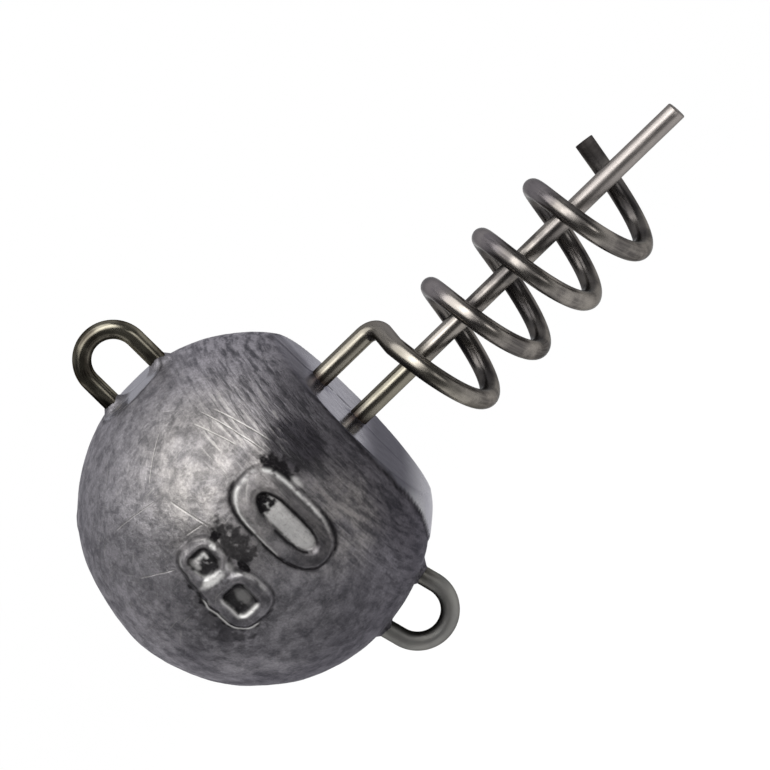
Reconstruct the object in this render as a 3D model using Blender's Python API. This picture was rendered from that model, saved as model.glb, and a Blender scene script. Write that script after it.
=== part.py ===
# Screw-in jig head for soft baits: a cast lead ball, a wire that forms the line eye and the
# hook eye, and a second wire that forms the bait corkscrew with its centring pin.
# The bait screws on along +X, the line pulls along +Z from the line eye, which holds the
# whole part up, so the hole of the line eye is the origin. Units are metres.

import math

import bmesh
import bpy
from mathutils import Matrix, Vector

# Cast ball
BALL_RADIUS = 0.0120
BALL_SEGMENTS = 48
BALL_RINGS = 24
REAR_FACE_X = 0.00938
LINE_FLAT_DISTANCE = 0.01166
HOOK_FLAT_DISTANCE = 0.01174
GATE_FLAT_DISTANCE = 0.01168
GATE_ANGLE = math.radians(168)

# Spring wire, one gauge for both pieces
WIRE_DIAMETER = 0.00125
WIRE_SIDES = 12
CHANNEL_CLEARANCE = 0.0003

# Line eye, at the top of the ball
LINE_EYE_WIDTH = 0.00423
LINE_EYE_REACH = 0.01687
LINE_EYE_OFFSET_X = 0.0005
LINE_LEG_END_Z = 0.0009

# Hook eye, under the ball and leaning toward the screw
HOOK_EYE_ANGLE = math.radians(-75.6)
HOOK_EYE_WIDTH = 0.00443
HOOK_EYE_REACH = 0.01603
HOOK_EYE_OFFSET = 0.00035
HOOK_LEG_END_DISTANCE = 0.0015
LEG_KINK_RADIUS = 0.0040

# Centring pin and the leg beside it, bent from one wire and anchored in the lead
PIN_Z = -0.00045
PIN_TIP_X = 0.03955
LEG_Z = 0.0033
ANCHOR_X = 0.0054
LEG_CORNER_X = 0.01482
LEG_BEND_RADIUS = 0.0012

# Corkscrew
COIL_RADIUS = 0.00402
COIL_AXIS_Z = -0.00154
COIL_PITCH = 0.00483
COIL_NEAR_X = 0.01569
COIL_END_TURN = 4.142
RINGS_PER_TURN = 36
LEAST_WANTED_GAP = 0.0004

# Where the middle of the line eye's hole lies, seen from the middle of the ball
EYE_HOLE_Z = LINE_EYE_REACH - WIRE_DIAMETER - (LINE_EYE_WIDTH - WIRE_DIAMETER) / 2
EYE_HOLE = Vector((LINE_EYE_OFFSET_X, 0.0, EYE_HOLE_Z))


def clear_scene():
    for old in list(bpy.data.objects):
        bpy.data.objects.remove(old, do_unlink=True)


def principled(name, colour, roughness, metallic):
    material = bpy.data.materials.new(name)
    material.use_nodes = True
    shader = material.node_tree.nodes["Principled BSDF"]
    shader.inputs["Base Color"].default_value = (*colour, 1.0)
    shader.inputs["Roughness"].default_value = roughness
    shader.inputs["Metallic"].default_value = metallic
    material.diffuse_color = (*colour, 1.0)
    return material


def bent_wire(corners, bend_radii, arc_step=math.radians(15)):
    """Centre line of a wire that runs from corner to corner, with a round bend at each one."""
    points = [corners[0].copy()]
    for before, corner, after, radius in zip(corners, corners[1:], corners[2:], bend_radii):
        inward = (corner - before).normalized()
        outward = (after - corner).normalized()
        turn = inward.angle(outward)
        start = corner - inward * radius * math.tan(turn / 2)
        side = (outward - inward * inward.dot(outward)).normalized()
        middle = start + side * radius
        steps = max(3, math.ceil(turn / arc_step))
        for i in range(steps + 1):
            angle = turn * i / steps
            points.append(middle - side * radius * math.cos(angle) + inward * radius * math.sin(angle))
    points.append(corners[-1].copy())
    return without_repeats(points)


def without_repeats(points):
    kept = [points[0]]
    for point in points[1:]:
        if (point - kept[-1]).length > 1e-6:
            kept.append(point)
    return kept


def tube_mesh(name, points, radius, sides):
    """Round wire along a centre line, with flat cut ends."""
    tangents = []
    for i, point in enumerate(points):
        before = points[max(i - 1, 0)]
        after = points[min(i + 1, len(points) - 1)]
        arriving = (point - before).normalized() if i else (after - point).normalized()
        leaving = (after - point).normalized() if i < len(points) - 1 else arriving
        tangents.append((arriving + leaving).normalized())
    shape = bmesh.new()
    side = tangents[0].orthogonal().normalized()
    rings = []
    for i, (point, tangent) in enumerate(zip(points, tangents)):
        if i:
            side = tangents[i - 1].rotation_difference(tangent) @ side
        side = (side - tangent * side.dot(tangent)).normalized()
        other = tangent.cross(side)
        ring = []
        for k in range(sides):
            angle = math.tau * k / sides
            ring.append(shape.verts.new(point + (side * math.cos(angle) + other * math.sin(angle)) * radius))
        rings.append(ring)
    for ring, following in zip(rings, rings[1:]):
        for k in range(sides):
            n = (k + 1) % sides
            shape.faces.new((ring[k], ring[n], following[n], following[k]))
    shape.faces.new(list(reversed(rings[0])))
    shape.faces.new(rings[-1])
    mesh = bpy.data.meshes.new(name)
    bmesh.ops.recalc_face_normals(shape, faces=shape.faces)
    shape.to_mesh(mesh)
    shape.free()
    mesh.shade_smooth()
    mesh.set_sharp_from_angle(angle=math.radians(40))
    return mesh


def place(mesh, parent, material=None, name=None):
    obj = bpy.data.objects.new(name or mesh.name, mesh)
    bpy.context.scene.collection.objects.link(obj)
    obj.parent = parent
    if material:
        mesh.materials.append(material)
    return obj


def as_cutter(obj):
    obj.hide_render = True
    obj.display_type = "WIRE"
    return obj


def extended(points, length):
    """The same centre line, run on straight by this length at both ends."""
    first = points[0] + (points[0] - points[1]).normalized() * length
    last = points[-1] + (points[-1] - points[-2]).normalized() * length
    return [first, *points[1:-1], last]


clear_scene()

# The ball's middle hangs below the line eye
ball_middle = bpy.data.objects.new("jig_head", None)
bpy.context.scene.collection.objects.link(ball_middle)
ball_middle.location = -EYE_HOLE

wire_radius = WIRE_DIAMETER / 2
channel_radius = wire_radius + CHANNEL_CLEARANCE

lead = principled("cast_lead", (0.235, 0.225, 0.245), 0.42, 0.85)
eye_steel = principled("olive_eye_wire", (0.185, 0.170, 0.135), 0.38, 0.90)
screw_steel = principled("dark_screw_wire", (0.200, 0.180, 0.155), 0.30, 0.95)

# Through wire. It starts inside the lead, goes up and round the line eye, down through the
# ball, round the hook eye and back up into the lead, so the line pulls straight on the hook.
line_half = LINE_EYE_WIDTH / 2
line_left_x = LINE_EYE_OFFSET_X - line_half
line_right_x = LINE_EYE_OFFSET_X + line_half
line_top_z = LINE_EYE_REACH - wire_radius

hook_out = Vector((math.cos(HOOK_EYE_ANGLE), 0.0, math.sin(HOOK_EYE_ANGLE)))
hook_side = Vector((math.sin(HOOK_EYE_ANGLE), 0.0, -math.cos(HOOK_EYE_ANGLE)))
hook_half = HOOK_EYE_WIDTH / 2
hook_far = HOOK_EYE_REACH - wire_radius
front_leg = hook_side * (HOOK_EYE_OFFSET + hook_half)
rear_leg = hook_side * (HOOK_EYE_OFFSET - hook_half)
kink_distance = (line_right_x - rear_leg.x) / hook_out.x

eye_corners = [
    Vector((line_left_x, 0.0, LINE_LEG_END_Z)),
    Vector((line_left_x, 0.0, line_top_z)),
    Vector((line_right_x, 0.0, line_top_z)),
    rear_leg + hook_out * kink_distance,
    rear_leg + hook_out * hook_far,
    front_leg + hook_out * hook_far,
    front_leg + hook_out * HOOK_LEG_END_DISTANCE,
]
eye_bends = [line_half, line_half, LEG_KINK_RADIUS, hook_half, hook_half]
eye_line = bent_wire(eye_corners, eye_bends)
eye_wire = place(tube_mesh("eye_wire", eye_line, wire_radius, WIRE_SIDES), ball_middle, eye_steel)


# Screw wire. From the tip of the centring pin it runs back into the lead, turns round as an
# anchor, comes out as the leg, bends toward the near side and winds the corkscrew. It meets
# the first turn where a line from the leg touches the coil, seen along the pin.
def coil_point(turn):
    angle = math.tau * turn
    return Vector((
        COIL_NEAR_X + COIL_PITCH * (turn - 0.5),
        COIL_RADIUS * math.cos(angle),
        COIL_AXIS_Z + COIL_RADIUS * math.sin(angle),
    ))


leg_height_over_coil = LEG_Z - COIL_AXIS_Z
coil_start_turn = 0.25 + math.acos(COIL_RADIUS / leg_height_over_coil) / math.tau
coil_start = coil_point(coil_start_turn)

anchor_radius = (LEG_Z - PIN_Z) / 2
screw_corners = [
    Vector((PIN_TIP_X, 0.0, PIN_Z)),
    Vector((ANCHOR_X, 0.0, PIN_Z)),
    Vector((ANCHOR_X, 0.0, LEG_Z)),
    Vector((LEG_CORNER_X, 0.0, LEG_Z)),
    coil_start,
]
screw_line = bent_wire(screw_corners, [anchor_radius, anchor_radius, LEG_BEND_RADIUS])
coil_steps = round((COIL_END_TURN - coil_start_turn) * RINGS_PER_TURN)
for step in range(1, coil_steps + 1):
    screw_line.append(coil_point(coil_start_turn + (COIL_END_TURN - coil_start_turn) * step / coil_steps))
screw_wire = place(tube_mesh("screw_wire", screw_line, wire_radius, WIRE_SIDES), ball_middle, screw_steel)


def closest_to_itself(points, near_run):
    """Least gap between two stretches of a wire that are more than near_run apart along it."""
    spaced = [points[0]]
    for start, end in zip(points, points[1:]):
        pieces = max(1, math.ceil((end - start).length / 0.0003))
        spaced.extend(start.lerp(end, k / pieces) for k in range(1, pieces + 1))
    run = [0.0]
    for start, end in zip(spaced, spaced[1:]):
        run.append(run[-1] + (end - start).length)
    least = math.inf
    for i, point in enumerate(spaced):
        for j in range(i + 1, len(spaced)):
            if run[j] - run[i] > near_run:
                least = min(least, (spaced[j] - point).length)
    return least - WIRE_DIAMETER


self_gap = closest_to_itself(screw_line, near_run=math.pi * WIRE_DIAMETER * 1.5)
print(f"screw wire, least gap to itself {self_gap * 1000:.2f} mm")
if self_gap < LEAST_WANTED_GAP:
    raise ValueError("the screw wire comes too close to itself")


# Cast lead head. A ball with a flat where the screw leaves it, a small flat at each eye and
# one at the nose where the gate was cut off, and a channel round each wire.
ball_shape = bmesh.new()
bmesh.ops.create_uvsphere(
    ball_shape, u_segments=BALL_SEGMENTS, v_segments=BALL_RINGS, radius=BALL_RADIUS,
    matrix=Matrix.Rotation(math.radians(90), 4, "X"),
)
gate_out = Vector((math.cos(GATE_ANGLE), 0.0, math.sin(GATE_ANGLE)))
flats = [
    (Vector((1.0, 0.0, 0.0)), REAR_FACE_X),
    (gate_out, GATE_FLAT_DISTANCE),
    (Vector((0.0, 0.0, 1.0)), LINE_FLAT_DISTANCE),
    (hook_out, HOOK_FLAT_DISTANCE),
]
for direction, distance in flats:
    everything = ball_shape.verts[:] + ball_shape.edges[:] + ball_shape.faces[:]
    cut = bmesh.ops.bisect_plane(
        ball_shape, geom=everything, dist=1e-7, plane_co=direction * distance,
        plane_no=direction, clear_outer=True,
    )
    rim = [edge for edge in cut["geom_cut"] if isinstance(edge, bmesh.types.BMEdge)]
    bmesh.ops.edgeloop_fill(ball_shape, edges=rim)
bmesh.ops.recalc_face_normals(ball_shape, faces=ball_shape.faces)
ball_mesh = bpy.data.meshes.new("lead_head")
ball_shape.to_mesh(ball_mesh)
ball_shape.free()
ball_mesh.shade_smooth()
ball_mesh.set_sharp_from_angle(angle=math.radians(25))
lead_head = place(ball_mesh, ball_middle, lead)

# The screw's channel stops in front of the ball, so only the buried stretch is cut
buried_screw = bent_wire(
    [
        Vector((BALL_RADIUS + 0.001, 0.0, PIN_Z)),
        Vector((ANCHOR_X, 0.0, PIN_Z)),
        Vector((ANCHOR_X, 0.0, LEG_Z)),
        Vector((BALL_RADIUS + 0.001, 0.0, LEG_Z)),
    ],
    [anchor_radius, anchor_radius],
)
buried_eyes = extended(eye_line, CHANNEL_CLEARANCE)
channels = [("screw_channel", buried_screw), ("eye_channel", buried_eyes)]
for name, line in channels:
    cutter = as_cutter(place(tube_mesh(name, line, channel_radius, WIRE_SIDES), ball_middle))
    channel = lead_head.modifiers.new(name, "BOOLEAN")
    channel.operation = "DIFFERENCE"
    channel.solver = "EXACT"
    channel.object = cutter
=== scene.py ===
import math

import bmesh
import bpy
import numpy as np
from mathutils import Matrix, Vector, noise


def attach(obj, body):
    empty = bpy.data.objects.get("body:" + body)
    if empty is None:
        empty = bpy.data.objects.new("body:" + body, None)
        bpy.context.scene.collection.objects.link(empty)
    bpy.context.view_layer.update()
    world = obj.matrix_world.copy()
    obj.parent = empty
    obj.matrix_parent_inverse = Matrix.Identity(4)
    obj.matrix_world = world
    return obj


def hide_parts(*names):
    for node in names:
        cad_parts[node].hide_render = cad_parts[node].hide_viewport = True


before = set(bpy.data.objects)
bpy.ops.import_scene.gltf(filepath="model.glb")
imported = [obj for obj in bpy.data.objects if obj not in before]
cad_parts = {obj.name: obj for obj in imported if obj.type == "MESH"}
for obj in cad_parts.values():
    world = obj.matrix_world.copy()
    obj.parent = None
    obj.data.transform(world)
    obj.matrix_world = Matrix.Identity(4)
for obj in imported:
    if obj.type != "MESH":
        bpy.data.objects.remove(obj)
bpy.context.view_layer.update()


# The cast head: 77 g of bare lead, poured round both wires in a mould of two halves that part
# along Y = 0. The near half has the weight cut into it, so the numerals stand proud. The gate was
# cut off at the nose. Sizes are in mm, from the ball's middle, which is given in m in the frame.
MM = 0.001
BALL_MIDDLE = Vector((-0.0005, 0.0, -0.01413))
BALL_RADIUS = 12.0
BALL_CELLS = 76
HOOK_TILT = math.radians(-75.6)
HOOK_OUT = np.array([math.cos(HOOK_TILT), 0.0, math.sin(HOOK_TILT)])
HOOK_SIDE = np.array([math.sin(HOOK_TILT), 0.0, -math.cos(HOOK_TILT)])
GATE_TILT = math.radians(168)
GATE_OUT = np.array([math.cos(GATE_TILT), 0.0, math.sin(GATE_TILT)])
REARWARD = np.array([1.0, 0.0, 0.0])
UPWARD = np.array([0.0, 0.0, 1.0])
REAR_FLAT = 9.38
LINE_FLAT = 11.66
HOOK_FLAT = 11.74
GATE_FLAT = 11.67
# Each flat's direction, distance, softness of its rim, and how bare and dark-rimmed it is
FLATS = [
    (REARWARD, REAR_FLAT, 0.10, 1.0),
    (UPWARD, LINE_FLAT, 0.05, 1.0),
    (HOOK_OUT, HOOK_FLAT, 0.05, 0.8),
    (GATE_OUT, GATE_FLAT, 0.35, 0.0),
]
WIRE_RADIUS = 0.66
PIN_Z = -0.45
LEG_Z = 3.3
LINE_EYE_X = 0.5
LINE_EYE_HALF = 2.115
HOOK_EYE_SHIFT = 0.35
HOOK_EYE_HALF = 2.215
# How far the lead climbs each wire where the wire leaves it
LINE_EYE_CLIMB = 0.50
HOOK_EYE_CLIMB = 0.40
SCREW_CLIMB = 0.12


def wire_exits():
    """Where each wire leaves the lead: a point on its axis, its direction, and the lead's climb."""
    exits = []
    for x in (LINE_EYE_X - LINE_EYE_HALF, LINE_EYE_X + LINE_EYE_HALF):
        exits.append((REARWARD * x + UPWARD * LINE_FLAT, UPWARD, LINE_EYE_CLIMB))
    for shift in (HOOK_EYE_SHIFT - HOOK_EYE_HALF, HOOK_EYE_SHIFT + HOOK_EYE_HALF):
        exits.append((HOOK_OUT * HOOK_FLAT + HOOK_SIDE * shift, HOOK_OUT, HOOK_EYE_CLIMB))
    for z in (PIN_Z, LEG_Z):
        exits.append((REARWARD * REAR_FLAT + UPWARD * z, REARWARD, SCREW_CLIMB))
    return exits


def ball_grid(cells):
    """A ball of unit radius in six patches of quads, so that no poles pinch the casting."""
    shape = bmesh.new()
    known = {}
    steps = [math.tan(-math.pi / 4 + math.pi / 2 * i / cells) for i in range(cells + 1)]
    for axis in range(3):
        for sign in (-1.0, 1.0):
            rows = []
            for a in steps:
                row = []
                for b in steps:
                    direction = Vector((0.0, 0.0, 0.0))
                    direction[axis] = sign
                    direction[(axis + 1) % 3] = a * sign
                    direction[(axis + 2) % 3] = b
                    direction.normalize()
                    key = tuple(round(c, 5) for c in direction)
                    if key not in known:
                        known[key] = shape.verts.new(direction)
                    row.append(known[key])
                rows.append(row)
            for i in range(cells):
                for j in range(cells):
                    shape.faces.new((rows[i][j], rows[i + 1][j], rows[i + 1][j + 1], rows[i][j + 1]))
    return shape


def refine(shape, wanted, cuts):
    """Splits the quads whose middle, on the ball's surface in mm, is wanted."""
    edges = set()
    for face in shape.faces:
        if wanted(np.array(face.calc_center_median().normalized()) * BALL_RADIUS):
            edges.update(face.edges)
    bmesh.ops.subdivide_edges(shape, edges=list(edges), cuts=cuts, use_grid_fill=True)


def smooth_step(low, high, value):
    t = np.clip((value - low) / (high - low), 0.0, 1.0)
    return t * t * (3 - 2 * t)


def lower_of(a, b, blend):
    """The lower of two heights, with a round edge of about this width where they cross."""
    h = np.clip(0.5 + 0.5 * (b - a) / blend, 0.0, 1.0)
    return b + (a - b) * h - blend * h * (1 - h)


def ridge(value, level, thickness):
    """1 where the value is at the level, falling off to both sides over the thickness."""
    return np.exp(-((value - level) / thickness) ** 2)


def inside_oval(x, z, middle_x, middle_z, half_width, half_height):
    """1 at an oval's middle, 0 on its rim and less outside it."""
    return 1 - np.hypot((x - middle_x) / half_width, (z - middle_z) / half_height)


def in_numeral_field(point):
    return point[1] < 0 and -6.1 < point[0] < 5.7 and abs(point[2]) < 4.7


def beside_a_wire(point):
    for start, direction, climb in wire_exits():
        away = point - start
        if away @ direction > -2.0 and np.linalg.norm(away - direction * (away @ direction)) < 1.6:
            return True
    return False


def between_leg_and_pin(point):
    return point[0] > 8.8 and abs(point[1]) < 2.4 and -0.6 < point[2] < 3.6


# Each ring of the 8 is a box with round corners: its middle, half width, half height and corner
EIGHT_RINGS = [(-3.20, 1.82, 1.13, 1.15, 0.74), (-3.25, -1.76, 1.29, 1.44, 0.85)]
EIGHT_BACK = ((-4.42, 1.30), (-4.68, -0.70))
EIGHT_HALF_STROKE = 0.26
# The floors inside the 8's rings count for less, so they get less of the wear and painted glint than the
# 0's
EIGHT_RING_SHARE = 0.4
ZERO_OVAL = (2.68, -0.06, 1.46, 3.32)
ZERO_ROUNDNESS = 2.3
ZERO_HALF_STROKE = 0.46
NUMERAL_HEIGHT = 0.66
# How far a stroke's round shoulder reaches in over it, and its flank leans out from its edge
SHOULDER = 0.18
FLANK = 0.36
MOAT_DEPTH = 0.10
# The ways up and left in the photograph, as x and z on the near side of the ball
PHOTO_UP = (0.705, 0.709)
PHOTO_LEFT = (-0.713, 0.701)


def numeral_edges(x, z):
    """Distance in mm outside the nearest stroke, less than 0 on it, and what lies inside a ring."""
    eight = np.full(x.shape, 99.0)
    in_ring = np.zeros(x.shape)
    for middle_x, middle_z, half_width, half_height, corner in EIGHT_RINGS:
        dx = np.abs(x - middle_x) - half_width + corner
        dz = np.abs(z - middle_z) - half_height + corner
        ring = np.hypot(np.maximum(dx, 0), np.maximum(dz, 0)) + np.minimum(np.maximum(dx, dz), 0) - corner
        eight = lower_of(eight, np.abs(ring), 1.1)
        in_ring = np.maximum(in_ring, EIGHT_RING_SHARE * (ring < 0))
    (top_x, top_z), (low_x, low_z) = EIGHT_BACK
    share = np.clip((top_z - z) / (top_z - low_z), 0, 1)
    back = np.hypot(x - top_x - share * (low_x - top_x), z - top_z - share * (low_z - top_z))
    eight = lower_of(eight, back + 0.04, 0.5)
    eight -= EIGHT_HALF_STROKE + 0.17 * smooth_step(0.6, -2.2, z)

    middle_x, middle_z, half_width, half_height = ZERO_OVAL
    dx = np.abs(x - middle_x) / half_width
    dz = np.abs(z - middle_z) / half_height
    power = ZERO_ROUNDNESS
    size = (dx ** power + dz ** power) ** (1 / power) + 1e-6
    slope = size ** (1 - power) * np.hypot(dx ** (power - 1) / half_width, dz ** (power - 1) / half_height)
    zero = np.abs(size - 1) / (slope + 1e-3) - ZERO_HALF_STROKE - 0.22 * smooth_step(0.5, 3.5, z)
    in_ring = np.maximum(in_ring, size < 1)
    return np.minimum(eight, zero), in_ring


# Where black oxide and painted shadow lie against the strokes, as x, z, half width, half height, reach and
# depth
OXIDE_AND_SHADOW_BEDS = [
    (5.00, 3.00, 1.35, 1.60, 0.95, 1.00),
    (-0.75, 1.20, 1.05, 1.85, 1.90, 0.86),
    (-1.45, -0.10, 0.35, 0.60, 0.90, 1.00),
    (-1.35, 2.55, 0.60, 0.35, 0.90, 1.00),
    (-5.60, -0.90, 0.95, 2.50, 0.60, 1.00),
    (-6.20, -2.20, 2.10, 2.80, 2.00, 0.50),
    (-4.60, -3.80, 1.50, 0.90, 0.50, 0.85),
    (2.40, 2.20, 1.20, 1.10, 1.70, 1.00),
    (-2.95, 1.40, 1.05, 0.95, 1.40, 0.93),
    (-3.25, -1.65, 1.35, 1.55, 1.50, 0.88),
]
# Dark lines along the strokes' contours, partly oxide and partly painted shadow: x, z, half width and half
# height of the stretch, the line's distance outside the stroke, its half thickness and depth, and whether
# it lies in a counter
OXIDE_AND_SHADOW_LINES = [
    (0.95, 2.80, 1.50, 2.30, 0.31, 0.19, 1.00, False),
    (0.55, -1.50, 0.90, 2.00, 0.24, 0.15, 1.00, False),
    (4.10, -2.70, 1.10, 1.70, 0.22, 0.18, 1.00, False),
    (1.70, -3.60, 1.60, 0.70, 0.20, 0.10, 1.00, False),
    (3.40, 0.20, 0.90, 3.10, 0.16, 0.25, 1.00, True),
    (1.85, -1.60, 0.75, 1.90, 0.12, 0.12, 1.00, True),
    (-3.20, 1.82, 1.90, 1.90, 0.08, 0.20, 1.00, True),
    (-3.25, -1.76, 2.00, 2.10, 0.08, 0.20, 1.00, True),
    (-4.20, 2.60, 1.20, 1.10, 0.16, 0.12, 0.80, False),
    (-1.95, 0.20, 0.60, 0.80, 0.16, 0.12, 0.80, False),
    (-5.05, -1.60, 0.70, 2.20, 0.02, 0.10, 0.95, False),
    (-4.30, -3.20, 1.20, 0.80, 0.02, 0.09, 0.85, False),
]
# Bright lines along the contours, partly wear and partly painted glints, with the same columns
RUBBED_AND_GLINT_LINES = [
    (1.25, 2.70, 1.40, 2.30, 0.02, 0.10, 1.00, False),
    (0.70, -0.20, 0.70, 1.30, 0.02, 0.08, 0.80, False),
    (-5.25, -1.80, 0.80, 1.90, 0.27, 0.08, 0.75, False),
    (-4.40, -3.50, 1.10, 0.70, 0.27, 0.08, 0.75, False),
    (-3.50, -2.75, 1.20, 0.45, -0.02, 0.13, 1.00, True),
    (-4.30, -1.70, 0.50, 1.10, -0.10, 0.12, 0.55, True),
    (-3.15, 2.55, 1.10, 0.80, 0.50, 0.14, 1.00, True),
    (-1.55, -1.40, 0.50, 1.10, 0.10, 0.07, 0.45, False),
]
# Faces of the strokes and floors that are rubbed and carry painted glints: x, z, half width, half height
# and brightness
RUBBED_AND_GLINT_FACES = [
    (-3.66, 0.60, 1.35, 0.46, 1.00),
    (-2.15, 0.45, 0.40, 0.50, 0.35),
    (-2.95, -1.75, 0.60, 0.95, 0.26),
    (-3.75, 2.10, 0.35, 0.60, 0.50),
    (-1.95, 2.25, 0.30, 0.35, 0.70),
    (5.00, 1.20, 0.30, 0.60, 0.45),
]


def oxide_and_shadow_beds(x, z, outside, ragged):
    """Depth of the black oxide and painted shadow against the numerals, with ragged edges."""
    depth = np.zeros(x.shape)
    for *oval, reach, strength in OXIDE_AND_SHADOW_BEDS:
        spread = smooth_step(-0.05, 0.30, inside_oval(x, z, *oval) + 0.45 * ragged)
        close = smooth_step(1.0, 0.60, outside / (reach * np.clip(1 + 0.8 * ragged, 0.3, 2.0)))
        depth = np.maximum(depth, strength * spread * close * smooth_step(-0.02, 0.12, outside))
    return depth


def contour_lines(lines, x, z, outside, in_ring, ragged):
    """Depth of each stretch of line along the numerals' contours, broken by the noise."""
    depth = np.zeros(x.shape)
    for *oval, level, thickness, strength, in_counter in lines:
        spread = smooth_step(-0.10, 0.25, inside_oval(x, z, *oval) + 0.30 * ragged)
        spread = spread * ((in_ring > 0) == in_counter)
        depth = np.maximum(depth, strength * spread * ridge(outside, level, thickness))
    return depth


# The bare tongue that the rear flat runs out into underneath, by its angle below the screw's
# axis in degrees and its half width there
TONGUE_ANGLES = np.radians([2.0, 13.5, 27.0, 36.0, 45.3, 51.2, 55.0])
TONGUE_HALF_WIDTHS = np.array([7.45, 7.34, 6.47, 5.24, 3.62, 2.23, 0.0])


def tongue_depth(points):
    """How far in mm each point lies inside the tongue's rim, less than 0 outside it."""
    angles = np.arctan2(-points[:, 2], points[:, 0])
    half_widths = np.interp(angles, TONGUE_ANGLES, TONGUE_HALF_WIDTHS, left=-5.0, right=-5.0)
    return half_widths - np.abs(points[:, 1])


def slow_noise(points, scale, offset):
    return np.array([noise.noise(Vector(point) * scale + Vector(offset)) for point in points])


RIPPLE_HEIGHT = 0.055
GRAIN_HEIGHT = 0.012
TONGUE_RISE = 0.13
SKIN_SINK = 0.05
SEAM_HALF_WIDTH = 0.12
SEAM_HEIGHT = 0.045


def raise_numerals(points, near, ripple, ragged):
    """Raises the numerals, with round shoulders and flanks that lean out as a mould needs."""
    outside, in_ring = numeral_edges(points[:, 0], points[:, 2])
    outside = outside + 0.040 * ragged + 0.03 * ripple
    raised = 1 - smooth_step(-SHOULDER, FLANK, outside)
    crown = 1 - 0.15 * smooth_step(-0.5, -0.1, outside)
    moat = smooth_step(0.05, 0.3, outside) * (1 - smooth_step(0.3, 1.2, outside)) * (1 - in_ring)
    height = NUMERAL_HEIGHT * raised * crown * (1 + 0.12 * ripple) - MOAT_DEPTH * moat
    points[:, 1] -= near * height
    return outside, in_ring


def numeral_marks(x, z, outside, in_ring, ripple, ragged):
    """Where the numerals and the lead beside them have oxide or painted shade, and where they have wear or
    painted glints.
    """
    # Painted shade, partly oxide, at the strokes' feet and on flanks that face down, and painted highlights
    # on shoulders that face up or left
    step = 0.02
    slope_x = (numeral_edges(x + step, z)[0] - numeral_edges(x - step, z)[0]) / (2 * step)
    slope_z = (numeral_edges(x, z + step)[0] - numeral_edges(x, z - step)[0]) / (2 * step)
    faces_up = slope_x * PHOTO_UP[0] + slope_z * PHOTO_UP[1]
    faces_left = slope_x * PHOTO_LEFT[0] + slope_z * PHOTO_LEFT[1]
    foot = ridge(outside, 0.27, 0.12) * smooth_step(-0.6, 0.2, ragged)
    shade = ridge(outside, 0.12, 0.17) * smooth_step(0.15, -0.55, faces_up)
    shade = shade * smooth_step(-0.9, -0.2, ragged)
    oxide_and_shade = np.maximum(np.maximum(0.7 * foot, 0.95 * shade), oxide_and_shadow_beds(x, z, outside, ragged))
    oxide_and_shade = np.maximum(oxide_and_shade, contour_lines(OXIDE_AND_SHADOW_LINES, x, z, outside, in_ring, ragged))
    lit = np.maximum(smooth_step(0.25, 0.85, faces_up), smooth_step(0.55, 0.95, faces_left) * (1 - in_ring))
    wear_and_glints = lit * ridge(outside, 0.02, 0.10) * smooth_step(-0.5, 0.25, ragged)
    wear_and_glints *= (in_ring < 0.9) * np.where(x < 0, 0.45, 1.0)
    in_counter = in_ring * smooth_step(0.15, 0.35, outside) * (1 - np.minimum(oxide_and_shade, 1))
    wear_and_glints = np.maximum(wear_and_glints, 0.50 * in_counter)
    wear_and_glints = np.maximum(wear_and_glints, contour_lines(RUBBED_AND_GLINT_LINES, x, z, outside, in_ring, ragged))
    for *oval, brightness in RUBBED_AND_GLINT_FACES:
        spread = smooth_step(-0.05, 0.60, inside_oval(x, z, *oval) + 0.30 * ragged)
        wear_and_glints = np.maximum(wear_and_glints, brightness * spread)

    # Painted shade: the strokes' tops are darker on the far side of the 0 and the right of the 8
    on_stroke = smooth_step(0.05, -0.15, outside)
    shaded_arm = smooth_step(1.3, 2.8, 0.8 * x - 0.45 * z + 0.6 * ripple)
    shaded_arm = np.maximum(shaded_arm, 0.75 * smooth_step(-2.5, -2.0, x) * (z < -0.4) * (x < 0))
    shaded_arm = np.maximum(shaded_arm, 0.30 + 0.25 * smooth_step(-3.6, -4.3, x))
    return np.maximum(oxide_and_shade, on_stroke * 0.60 * shaded_arm), wear_and_glints


def press_flats(points, directions, grain, ragged, oxide_and_shade):
    """Presses the flats in, and gives where the lead is bare and where a dark line runs round their rims.
    """
    # The tongue under the rear flat stands a little proud of the skin round it
    inside = tongue_depth(points)
    bare = smooth_step(-0.05, 0.12, inside)
    rim = ridge(inside, -0.15, 0.13) * smooth_step(-0.6, 0.2, ragged + 0.3)
    oxide_and_shade = np.maximum(oxide_and_shade, 0.8 * rim)
    rise = TONGUE_RISE * smooth_step(-0.15, 0.15, inside) - SKIN_SINK
    points += directions * rise[:, None] * (inside > -2)[:, None]

    # Flats, where the mould ends and where the gate was cut off
    for direction, distance, softness, bareness in FLATS:
        reach = points @ direction
        if direction[0] == 1.0:
            above_the_leg = smooth_step(3.0, 5.2, points[:, 2])
            softness = softness + 0.45 * above_the_leg * smooth_step(3.0, 0.5, points[:, 1])
            bareness = bareness * (1 - above_the_leg * (0.85 - 0.55 * smooth_step(0.5, 3.5, points[:, 1])))
        points -= direction * (reach - lower_of(reach, np.full_like(reach, distance), softness))[:, None]
        points += direction * (GRAIN_HEIGHT * grain * (reach > distance + 0.05))[:, None]
        inside = (reach - distance) * BALL_RADIUS / math.sqrt(BALL_RADIUS ** 2 - distance ** 2)
        bare = np.maximum(bare, bareness * smooth_step(-0.03, 0.12, inside))
        rim = ridge(inside, -0.10, 0.14) * smooth_step(-0.6, 0.2, ragged + 0.2)
        oxide_and_shade = np.maximum(oxide_and_shade, 0.80 * bareness * rim * (bare < 0.6))
    return bare, oxide_and_shade


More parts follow.
